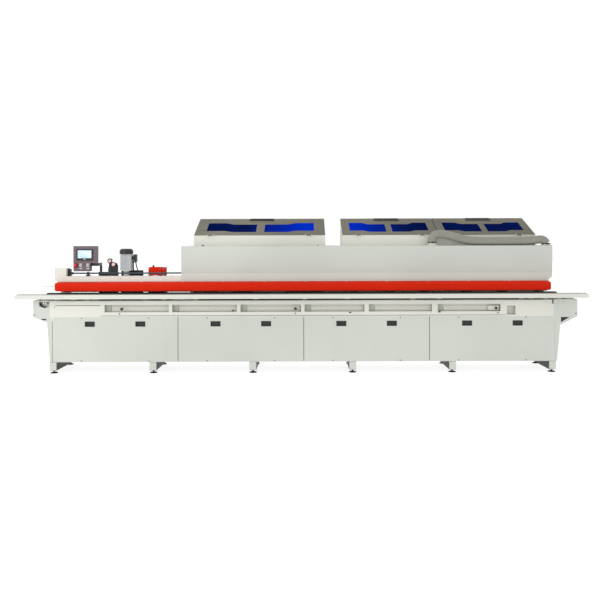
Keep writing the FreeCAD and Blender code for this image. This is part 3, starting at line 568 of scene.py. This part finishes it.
def hose_fittings(m):
    """Pale collars on the housing with a dark worm-drive clamp round each."""
    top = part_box("housing_front")[1].z
    bm = bmesh.new()
    clamps = bmesh.new()
    ends = ((HOSE_ROUTE[0], 22 * MM), (HOSE_ROUTE[-1], 4 * MM))
    for (x, _), rise in ends:
        base = at(x, HOSE_DEPTH, 0)
        base.z = top
        add_lathe(bm, [(0.049, 0), (0.066, 0), (0.066, 0.004), (0.0535, 0.007), (0.0535, rise + 0.008),
                       (0.049, rise + 0.008)], base, AXES["z"])
        clamp = base + AXES["z"] * (rise + 0.01)
        add_lathe(clamps, [(0.0515, 0), (0.0535, 0), (0.0535, 0.013), (0.0515, 0.013)], clamp,
                  AXES["z"])
        add_box(clamps, clamp + Vector((-0.016, -0.062, -0.002)),
                clamp + Vector((0.016, -0.051, 0.015)))
    finish_mesh(bm, "hose_collars", m["roller_white"], "base")
    finish_mesh(clamps, "hose_clamps", m["black_plastic"], "base")


# --- Pressure beam ---------------------------------------------------------------------------------

def arc(centre, radius, start, end, steps):
    """Points of an arc in the YZ plane, angles in degrees from +Y."""
    points = []
    for index in range(steps + 1):
        turn = math.radians(start + (end - start) * index / steps)
        points.append((centre[0] + radius * math.cos(turn), centre[1] + radius * math.sin(turn)))
    return points


COVER_WALL = 2.4 * MM
COVER_FOLD = 1058 * MM
COVER_INSET = 0.016
COVER_END = 0.030
COVER_SCREW_START = 0.046
COVER_SCREW_PITCH = 0.489
COVER_SCREWS = 13


def cover_outline(inset):
    """Section of the red cover: curled lower edge, flat face, rounded fold and sloping top."""
    low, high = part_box("red_cover")
    wall = COVER_WALL
    fold = COVER_FOLD
    slope = math.degrees(math.atan2(high.z - fold, high.y - low.y))
    front = low.y + inset
    bottom = low.z + inset * 0.5
    top = high.z - inset * 0.5
    outer = arc((front + 0.014, bottom + 0.014), 0.014, 268, 180, 5)
    outer += arc((front + 0.010, fold - 0.004), 0.010, 180, 90 + slope, 6)
    outer.append((high.y, top))
    inner = [(y + wall * 0.3, z - wall) for y, z in outer[-1:]]
    inner += [(y + wall, z - wall * 0.3) for y, z in reversed(outer[6:-1])]
    inner += [(y + wall, z + wall * 0.2) for y, z in reversed(outer[:6])]
    return [(min(y, high.y), z) for y, z in outer + inner]


def red_cover(m):
    """Folded red cover, drawn in at both ends where its corners are folded back."""
    low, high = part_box("red_cover")
    bm = bmesh.new()
    stations = [(low.x, COVER_INSET), (low.x + COVER_END, 0.0), (high.x - COVER_END, 0.0),
                (high.x, COVER_INSET)]
    sections = []
    for x, inset in stations:
        sections.append([bm.verts.new((x, y, z)) for y, z in cover_outline(inset)])
    count = len(sections[0])
    for first, second in zip(sections, sections[1:]):
        for index in range(count):
            following = (index + 1) % count
            bm.faces.new((first[index], first[following], second[following], second[index]))
    bm.faces.new(sections[0])
    bm.faces.new(sections[-1])
    cap = [(low.y + 0.022, low.z + 0.014), (low.y + 0.022, 1.046),
           (high.y - 0.003, high.z - 0.014), (high.y - 0.003, low.z + 0.014)]
    for x in (low.x + 0.001, high.x - 0.0035):
        add_strip(bm, cap, x, x + 0.0025)
    boxes("rear_guard", m["chain_rubber"], "beam",
          [(at(-2880, 156.5, 955), at(2960, 159, 992))], 0.0006)
    cover = finish_mesh(bm, "red_cover_sheet", m["red_paint"], "beam")
    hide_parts("red_cover")
    along_x = [low.x + COVER_SCREW_START + COVER_SCREW_PITCH * step for step in range(COVER_SCREWS)]
    places = [Vector((x, high.y - 0.016, high.z - 0.0035)) for x in along_x if x < high.x]
    screws("cover_screws", places, Vector((0, -0.28, 0.96)), 0.0085, m["roller_white"], "beam")


def pressure_rollers(m):
    """Rubber-tyred pressure rollers on steel axles, one after another under the beam."""
    low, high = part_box("pressure_rollers")
    radius = (high.z - low.z) / 2
    pitch = 51.5 * MM
    count = round((high.x - low.x - 2 * radius) / pitch) + 1
    tyres = bmesh.new()
    hubs = bmesh.new()
    width = high.y - low.y
    round_edge = 0.005
    profile = [(0.010, 0.0), (radius - round_edge, 0.0), (radius - 0.0015, 0.0015), (radius, round_edge),
               (radius, width / 2 - 0.003), (radius - 0.003, width / 2), (radius, width / 2 + 0.003),
               (radius, width - round_edge), (radius - 0.0015, width - 0.0015),
               (radius - round_edge, width), (0.010, width)]
    for index in range(count):
        centre = Vector((low.x + radius + pitch * index, low.y, low.z + radius))
        add_lathe(tyres, profile, centre, AXES["y"], 24)
        add_rod(hubs, centre - AXES["y"] * 0.001, AXES["y"], 0.0098, width + 0.002, segments=16)
    wheels = finish_mesh(tyres, "pressure_tyres", m["chain_rubber"], "beam")
    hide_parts("pressure_rollers")
    finish_mesh(hubs, "pressure_axles", m["steel"], "beam")


def beam_top(m):
    """Gear case, shaft bearing and bracket, with the screws along the beam's face."""
    face = FRONT + 94 * MM
    case = boxes("gear_case", m["cream_white"], "beam",
                 [(at(-2963, 94, 1148), at(-2823, 250, 1245)),
                  (at(-2961, 92.6, 1094), at(-2836, 94, 1146))],
                 0.004)
    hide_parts("lift_gearbox")
    boxes("shaft_bearing", m["bearing_green"], "beam",
          [(at(-2823, 155, 1148), at(-2813, 225, 1236)), (at(-2813, 164, 1150), at(-2803, 216, 1222)),
           (at(-2803, 155, 1148), at(-2795, 225, 1236)), (at(-2610, 165, 1148), at(-2564, 215, 1163))],
          0.002)
    bm = bmesh.new()
    add_rod(bm, at(-2598, 190, 1181), AXES["x"], 0.017, 0.026)
    add_rod(bm, at(-2786, 190, 1181), AXES["x"], 0.016, 0.020)
    finish_mesh(bm, "shaft_collars", m["shaft_dark"], "lift_shaft")
    bm = bmesh.new()
    add_rod(bm, at(-3096, 60, 1030), AXES["x"], 0.003, 0.198)
    finish_mesh(bm, "feeler_bar", m["steel"], "beam")
    boxes("feeler_bracket", m["steel"], "beam", [(at(-2904, 56, 1024), at(-2898, 94, 1036))])
    places = [Vector((x * MM, face, 1.118)) for x in range(-2700, -1450, 262)]
    places += [Vector((x * MM, face, 1.126)) for x in (-2930, -2855)]
    screws("beam_screws", places, -AXES["y"], 0.006, m["galvanised"], "beam")
    lips = [at(x, 120, 1148) for x in (-2350, -1930, -1700, -1560)]
    screws("beam_top_bolts", lips, AXES["z"], 0.009, m["shaft_dark"], "beam")


# --- Operator's panel ------------------------------------------------------------------------------

def rounded_plate(bm, low, high, radius, steps=6):
    """A plate in the XZ plane with rounded corners, from low.y to high.y."""
    low, high = Vector(low), Vector(high)
    corners = [((high.x - radius, high.z - radius), 0), ((low.x + radius, high.z - radius), 90),
               ((low.x + radius, low.z + radius), 180), ((high.x - radius, low.z + radius), 270)]
    outline = []
    for centre, start in corners:
        outline += arc(centre, radius, start, start + 90, steps)
    ends = [[bm.verts.new((x, y, z)) for x, z in outline] for y in (low.y, high.y)]
    count = len(outline)
    for index in range(count):
        following = (index + 1) % count
        bm.faces.new((ends[0][index], ends[0][following], ends[1][following], ends[1][index]))
    bm.faces.new(ends[0])
    bm.faces.new(ends[1])


def operator_panel(m):
    case = boxes("panel_housing", m["panel_grey"], "panel",
                 [(at(-2731, 70, 1308), at(-2450, 148, 1511)),
                  (at(-2731, 70, 1209), at(-2527, 148, 1309))],
                 0.004)
    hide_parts("panel_case")
    boxes("panel_back_door", m["shaft_dark"], "panel",
          [(at(-2720, 148, 1320), at(-2462, 150, 1500))], 0.0008)
    bm = bmesh.new()
    add_box(bm, at(-2529, 108, 1271), at(-2441, 150, 1305))
    add_box(bm, at(-2473, 140, 1271), at(-2441, 285, 1305))
    add_rod(bm, at(-2457, 285, 1196), AXES["z"], 0.0155, 0.110, rim=0.003)
    finish_mesh(bm, "panel_arm", m["black_plastic"], "panel", 0.004)
    bm = bmesh.new()
    rounded_plate(bm, at(-2693, 64, 1338), at(-2493, 69.8, 1474), 0.009)
    bezel = finish_mesh(bm, "screen_bezel", m["black_plastic"], "panel", 0.0012)
    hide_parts("panel_screen")
    boxes("screen_glass", m["screen"], "panel",
          [(at(-2676, 63.2, 1367), at(-2513, 66, 1460))], 0.0006)
    bm = bmesh.new()
    rounded_plate(bm, at(-2608, 62.8, 1349), at(-2582, 65, 1362), 0.006)
    finish_mesh(bm, "home_key", m["button_white"], "panel", 0.0004)

    bm = bmesh.new()
    profile = [(0, 0), (0.010, 0.0004), (0.0155, 0.0022), (0.018, 0.006), (0.0178, 0.011), (0.0150, 0.014),
               (0.0110, 0.0145), (0.0105, 0.024), (0, 0.024)]
    add_lathe(bm, profile, at(-2701, 38, 1283), AXES["y"])
    stop = finish_mesh(bm, "stop_mushroom", m["stop_red"], "emergency_stop")
    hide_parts("emergency_stop")
    bm = bmesh.new()
    rounded_plate(bm, at(-2722, 67.6, 1252), at(-2680, 69.9, 1306), 0.004)
    finish_mesh(bm, "stop_plate", m["dial_red"], "panel", 0.0004)
    labels = bmesh.new()
    for name, x in (("start_button", -2641), ("feed_button", -2557)):
        bm = bmesh.new()
        rounded_plate(bm, at(x - 13, 56, 1268), at(x + 13, 63.4, 1298), 0.005)
        cap = finish_mesh(bm, name + "_cap", m["button_white"], name, 0.0015)
        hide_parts(name)
        rounded_plate(labels, at(x - 18, 66.8, 1261), at(x + 18, 69.9, 1305), 0.006)
        rounded_plate(labels, at(x - 17, 68.8, 1236), at(x + 17, 69.9, 1252), 0.002)
    finish_mesh(labels, "button_bezels", m["button_white"], "panel", 0.0006)


# --- Pre-milling motor, indicators and tape feed ----------------------------------------------------

MOTOR_X = -2149
MOTOR_DEPTH = 300
MOTOR_HALF = 61
MOTOR_FINS = 9
FAN_RADIUS = 0.0812
FAN_SLOTS = 24


def premill(m):
    """Finned motor with a ribbed fan cover, and its terminal box."""
    x, middle, side = MOTOR_X, MOTOR_DEPTH, MOTOR_HALF
    bm = bmesh.new()
    add_box(bm, at(x - side + 6, middle - side + 6, 1216), at(x + side - 6, middle + side - 6, 1410))
    for number in range(MOTOR_FINS):
        offset = -side + 3 + number * (2 * side - 10) / (MOTOR_FINS - 1)
        add_box(bm, at(x + offset, middle - side - 5, 1222), at(x + offset + 4, middle - side + 8, 1406))
        add_box(bm, at(x + offset, middle + side - 8, 1222), at(x + offset + 4, middle + side + 5, 1406))
        for face in (-side - 5, side - 8):
            add_box(bm, at(x + face, middle + offset, 1222), at(x + face + 13, middle + offset + 4, 1406))
    add_box(bm, at(x - 66, middle - 66, 1209), at(x + 66, middle + 66, 1221))
    add_rod(bm, at(x, middle, 1012), AXES["z"], 0.038, 0.198)
    motor = finish_mesh(bm, "motor_body", m["motor_aluminium"], "base", 0.0012)
    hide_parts("premill_motor")
    bm = bmesh.new()
    profile = [(0.076, 0), (0.0805, 0.0), (0.0815, 0.004), (0.0815, 0.040), (0.078, 0.049), (0.064, 0.062),
               (0.054, 0.0650), (0.050, 0.0635), (0.032, 0.0655), (0.028, 0.064), (0, 0.0655)]
    add_lathe(bm, profile, at(x, middle, 1410), AXES["z"], 48)
    for number in range(FAN_SLOTS):
        turn = 2 * math.pi * number / FAN_SLOTS
        centre = at(x, middle, 1430) + Vector((math.cos(turn), math.sin(turn), 0)) * FAN_RADIUS
        place = Matrix.Translation(centre) @ Matrix.Rotation(turn, 4, "Z")
        bmesh.ops.create_cube(bm, size=1, matrix=place @ Matrix.Diagonal((0.0014, 0.006, 0.030, 1)))
    add_box(bm, at(-2064, 291, 1318), at(-2025, 353, 1405))
    add_box(bm, at(-2090, 300, 1340), at(-2064, 344, 1384))
    add_box(bm, at(-2076, 300, 1318), at(-2025, 346, 1332))
    cover = finish_mesh(bm, "motor_fan_cover", m["black_plastic"], "base", 0.002)
    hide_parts("premill_covers")
    glands = bmesh.new()
    for route in CABLE_ROUTES.values():
        start = at(*route[0])
        add_lathe(glands, [(0.0073, -0.014), (0.0095, -0.012), (0.0125, -0.003), (0.0125, 0.002),
                           (0.0073, 0.002)], start, AXES["z"], 6)
        end = at(*route[-1])
        add_lathe(glands, [(0.0073, 0), (0.0125, 0), (0.0125, 0.006), (0.0095, 0.014), (0.0073, 0.016)],
                  end, AXES["z"], 6)
    finish_mesh(glands, "cable_glands", m["cable_black"], "base")


DIALS = ((-2339, 1330), (-2294, 1285))


def indicators(m):
    """Two position indicators: red rims, pale dials, on a dark bracket with a lever."""
    for number, (x, z) in enumerate(DIALS, start=1):
        name = f"position_dial_{number}"
        bm = bmesh.new()
        add_lathe(bm, [(0, 0.006), (0.0195, 0.006), (0.021, 0.0), (0.0275, 0.0005), (0.029, 0.004),
                       (0.029, 0.026), (0.026, 0.0294), (0, 0.0295)], at(x, 232, z), AXES["y"])
        rim = finish_mesh(bm, name + "_rim", m["dial_red"], name)
        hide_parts(name)
        bm = bmesh.new()
        add_lathe(bm, [(0, 0), (0.0192, 0), (0.0192, 0.0042), (0, 0.0042)], at(x, 233.5, z), AXES["y"])
        finish_mesh(bm, name + "_face", m["dial_face"], name)
        bm = bmesh.new()
        add_box(bm, at(x - 1, 232.4, z - 3), at(x + 1, 233.6, z + 14))
        for tick in range(12):
            turn = math.pi * tick / 6
            spot = at(x + 16 * math.sin(turn), 233.1, z + 16 * math.cos(turn))
            add_rod(bm, spot, AXES["y"], 0.0009, 0.0008, segments=8)
        finish_mesh(bm, name + "_marks", m["black_plastic"], name)
    bm = bmesh.new()
    add_rod(bm, at(-2368, 268, 1200), Vector((0.22, 0, 1)), 0.004, 0.085)
    add_box(bm, at(-2262, 258, 1198), at(-2246, 290, 1276))
    add_box(bm, at(-2358, 256, 1194), at(-2250, 262, 1222))
    finish_mesh(bm, "indicator_lever", m["bearing_green"], "base", 0.002)


def tape_feed(m):
    """Red tape feed block with its bolts, black feet and adjusting knob."""
    case = boxes("feed_block", m["red_paint"], "base",
                 [(at(-1875, 263, 1150), at(-1713, 379, 1250)),
                  (at(-1711, 266, 1142), at(-1666, 376, 1247))],
                 0.006)
    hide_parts("tape_feed_block")
    boxes("feed_block_foot", m["black_plastic"], "base",
          [(at(-1874, 264, 1134), at(-1840, 378, 1150)), (at(-1760, 264, 1134), at(-1668, 378, 1150)),
           (at(-1716, 270, 1136), at(-1709, 372, 1236))], 0.002)
    places = [at(x, 263, z) for x in (-1862, -1726) for z in (1164, 1236)]
    places += [at(-1690, 266, z) for z in (1160, 1230)]
    screws("feed_block_bolts", places, -AXES["y"], 0.0065, m["steel"], "base")
    bm = bmesh.new()
    add_lathe(bm, [(0, 0), (0.009, 0), (0.009, 0.006), (0.0155, 0.0065), (0.0155, 0.016), (0.012, 0.0196),
                   (0, 0.0198)], at(-1818, 300, 1251.5), AXES["z"], 10)
    knob = finish_mesh(bm, "feed_knob", m["black_plastic"], "tape_feed_knob")
    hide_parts("tape_feed_knob")


# --- Front of the base ------------------------------------------------------------------------------

def panel_spans():
    return [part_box(f"front_panel_{number}") for number in range(1, 5)]


PULL_OFFSET = 0.3
PULL_HALF = 0.059
PULL_BOTTOM, PULL_TOP = 0.554, 0.616
CUP_HALF = 0.056
SCREW_OFFSET = 0.4
KNOB_X = (-2137, -75, 2306)
KNOB_PROFILE = [(0, 0), (0.010, 0), (0.0145, 0.0025), (0.017, 0.006), (0.017, 0.014),
                (0.011, 0.018), (0.0060, 0.019), (0.0060, 0.072), (0, 0.072)]


def front_fittings(m):
    """Flush pulls with a finger recess, panel screws and the knobs of the apron."""
    pulls = bmesh.new()
    places = []
    for low, high in panel_spans():
        middle = (low.x + high.x) / 2
        for side in (-PULL_OFFSET, PULL_OFFSET):
            x = middle + side
            left, right = x - PULL_HALF, x + PULL_HALF
            bottom, top = PULL_BOTTOM, PULL_TOP
            y = FRONT
            add_box(pulls, (left, y - 0.0026, top - 0.013), (right, y + 0.0002, top))
            add_box(pulls, (left, y - 0.0026, bottom), (right, y + 0.0002, bottom + 0.009))
            add_box(pulls, (left, y - 0.0026, bottom + 0.009), (left + 0.009, y + 0.0002, top - 0.013))
            add_box(pulls, (right - 0.009, y - 0.0026, bottom + 0.009), (right, y + 0.0002, top - 0.013))
            add_box(pulls, (x - CUP_HALF, y + 0.0002, 0.558), (x + CUP_HALF, y + 0.0130, 0.562))
            add_box(pulls, (x - CUP_HALF, y + 0.0120, 0.562), (x + CUP_HALF, y + 0.0145, 0.612))
            add_box(pulls, (x - CUP_HALF, y + 0.0002, 0.606), (x + CUP_HALF, y + 0.0120, 0.612))
        for side in (-SCREW_OFFSET, SCREW_OFFSET):
            places += [Vector((middle + side, FRONT, z)) for z in (0.655, 0.147)]
    cups = finish_mesh(pulls, "flush_pulls", m["black_plastic"], "base", 0.0008)
    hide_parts("pull_handles")
    screws("panel_screws", places, -AXES["y"], 0.0065, m["shaft_dark"], "base")
    for number, x in enumerate(KNOB_X, start=1):
        name = f"clamp_knob_{number}"
        bm = bmesh.new()
        add_lathe(bm, KNOB_PROFILE, at(x, -13.5, 762), AXES["y"], 8)
        head = finish_mesh(bm, name + "_grip", m["black_plastic"], name, 0.0008)
        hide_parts(name)
    low_screws = [at(x, 0, 706) for x in (-2162, -75, 2328)]
    low_screws += [at(-3174, 0, 695), at(3255, 0, 695)]
    screws("apron_screws", low_screws, -AXES["y"], 0.0075, m["shaft_dark"], "base")


APRON_BACK = 60
APRON_WINDOWS = [(-2341, -1578), (-1538, -770), (-727, -8), (34, 745), (797, 1547), (1614, 2360)]


def apron_details(m):
    """Grey blocks at the left side of each apron window as painted shade, the insets behind them, and the
    folds of the end panels.
    """
    shades = []
    plates = []
    back = APRON_BACK
    for left, right in APRON_WINDOWS:
        # painted shade: a grey block fills the left side of each window, where shade falls in the recess
        shades.append((at(left, back - 14, 726), at(left + 68, back - 0.5, 812)))
        plates.append((at(left + 74, back - 6, 732), at(right - 8, back - 0.5, 784)))
    boxes("window_painted_shade", m["frame_grey"], "base", shades, 0.001)
    boxes("window_channels", m["cream_white"], "base", plates, 0.0015)
    clips = [(at(x, -3, z), at(x + 26, 0, z + 14)) for x, z in ((-827, 735), (562, 708), (1622, 712))]
    boxes("cable_clips", m["black_plastic"], "base", clips, 0.001)
    boxes("knob_plate", m["cream_white"], "base",
          [(at(2217, 30, 734), at(2344, 34, 790))], 0.001)
    slots = [(at(-2926, -0.6, 803), at(-2389, 0.4, 809)), (at(-2389, -0.6, 679), at(2426, 0.4, 684)),
             (at(-2936, -0.6, 772), at(-2932, 0.4, 803))]
    boxes("apron_gaps", m["black_plastic"], "base", slots, 0.0003)
    boxes("apron_end_clip", m["shaft_dark"], "base",
          [(at(2972, -1.2, 812), at(2988, 0, 860))], 0.001)


def end_details(m):
    """Chain tensioner at the infeed end, the dark slots, and a black plate at the outfeed end, painted
    shade in the triangular opening behind the brace.
    """
    bm = bmesh.new()
    centre = at(-3052, 4, 846)
    add_lathe(bm, [(0.0095, 0), (0.0255, 0.0), (0.0255, 0.003), (0.0095, 0.003)], centre, AXES["y"])
    finish_mesh(bm, "tensioner_washer", m["roller_white"], "idler")
    bm = bmesh.new()
    add_rod(bm, at(-3052, 1.5, 846), AXES["y"], 0.009, 0.007)
    finish_mesh(bm, "tensioner_bolt", m["black_plastic"], "idler")
    bm = bmesh.new()
    # painted shade: a black plate fills the triangular opening behind the brace, which is in shade
    shade = [(3072, 570), (3190, 632), (3190, 656), (3072, 656)]
    near = [bm.verts.new(at(x, 3.6, z)) for x, z in shade]
    far = [bm.verts.new(at(x, 6, z)) for x, z in shade]
    for index in range(4):
        following = (index + 1) % 4
        bm.faces.new((near[index], near[following], far[following], far[index]))
    bm.faces.new(near)
    bm.faces.new(far)
    finish_mesh(bm, "brace_painted_shade", m["black_plastic"], "base")
    boxes("end_slot", m["black_plastic"], "base",
          [(at(-3087, -0.5, 634), at(-3030, 0.5, 650))], 0.0003)


HOUSING_SEAM = 1189 * MM
HOOD_SPANS = ((-1311, 289), (495, 2845))


def housing_details(m):
    """Seam across the housing, its returned edge, and small fittings at the hoods' feet."""
    low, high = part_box("housing_front")
    seam = HOUSING_SEAM
    bm = bmesh.new()
    lip = [(low.y - 0.0006, seam - 0.0012), (low.y - 0.0034, seam + 0.0035),
           (low.y - 0.0034, high.z - 0.002),
           (low.y - 0.0012, high.z), (low.y + 0.0004, high.z), (low.y + 0.0004, seam - 0.0012)]
    add_strip(bm, lip, low.x + 0.0005, high.x - 0.0005)
    finish_mesh(bm, "housing_upper_skin", m["cabinet_white"], "base")
    fittings = [(at(-1212, 222, 1504), at(-1192, 229.6, 1520)),
                (at(190, 222, 1504), at(206, 229.6, 1514))]
    boxes("hood_feet", m["shaft_dark"], "base", fittings, 0.001)
    flanges = []
    for left, right in HOOD_SPANS:
        flanges.append((at(left - 14, 216, 1504), at(right + 14, 229.8, 1506)))
    boxes("hood_flanges", m["cream_white"], "base", flanges, 0.0008)


def lid_handles(m):
    """Black flush handles with a pull bar, lying on the slope of each lid."""
    for name in ("lid_left", "lid_middle", "lid_right"):
        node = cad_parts[name + "_handle"]
        node.data.materials.clear()
        node.data.materials.append(m["black_plastic"])
        add_bevel(node, 0.0015)


LEG_COUNT = 6
LEG_START = -2954
LEG_PITCH = 1186
LEG_HALF_WIDTH = 40
FOOT_DEPTHS = (45, 665)
PAD_PROFILE = [(0, 0), (0.045, 0), (0.045, 0.004), (0.038, 0.0095), (0.018, 0.012),
               (0.010, 0.013), (0.010, 0.024), (0, 0.024)]
NUT_PROFILE = [(0, 0), (0.017, 0), (0.0175, 0.001), (0.0175, 0.008), (0.017, 0.009), (0, 0.009)]
NUT_HEIGHT = 0.0238


def leg_details(m):
    """Levelling feet with dished pads, studs and lock nuts, and a plate on each beam's end."""
    bm = bmesh.new()
    plates = []
    for index in range(LEG_COUNT):
        x = LEG_START + LEG_PITCH * index
        for depth in FOOT_DEPTHS:
            base = at(x, depth, 0)
            add_lathe(bm, PAD_PROFILE, base, AXES["z"])
            add_lathe(bm, NUT_PROFILE, base + AXES["z"] * NUT_HEIGHT, AXES["z"], 6)
        plates.append((at(x - LEG_HALF_WIDTH, 2, 36), at(x + LEG_HALF_WIDTH, 4, 131)))
    feet = finish_mesh(bm, "levelling_pads", m["black_plastic"], "base")
    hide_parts("levelling_feet")
    boxes("leg_end_plates", m["cabinet_white"], "base", plates, 0.0015)


make_camera()
make_studio()
M = make_materials()
corrugated_hose(M)
motor_cables(M)
dress_frame(M)
hose_fittings(M)
red_cover(M)
pressure_rollers(M)
beam_top(M)
operator_panel(M)
premill(M)
indicators(M)
tape_feed(M)
front_fittings(M)
apron_details(M)
end_details(M)
housing_details(M)
lid_handles(M)
leg_details(M)
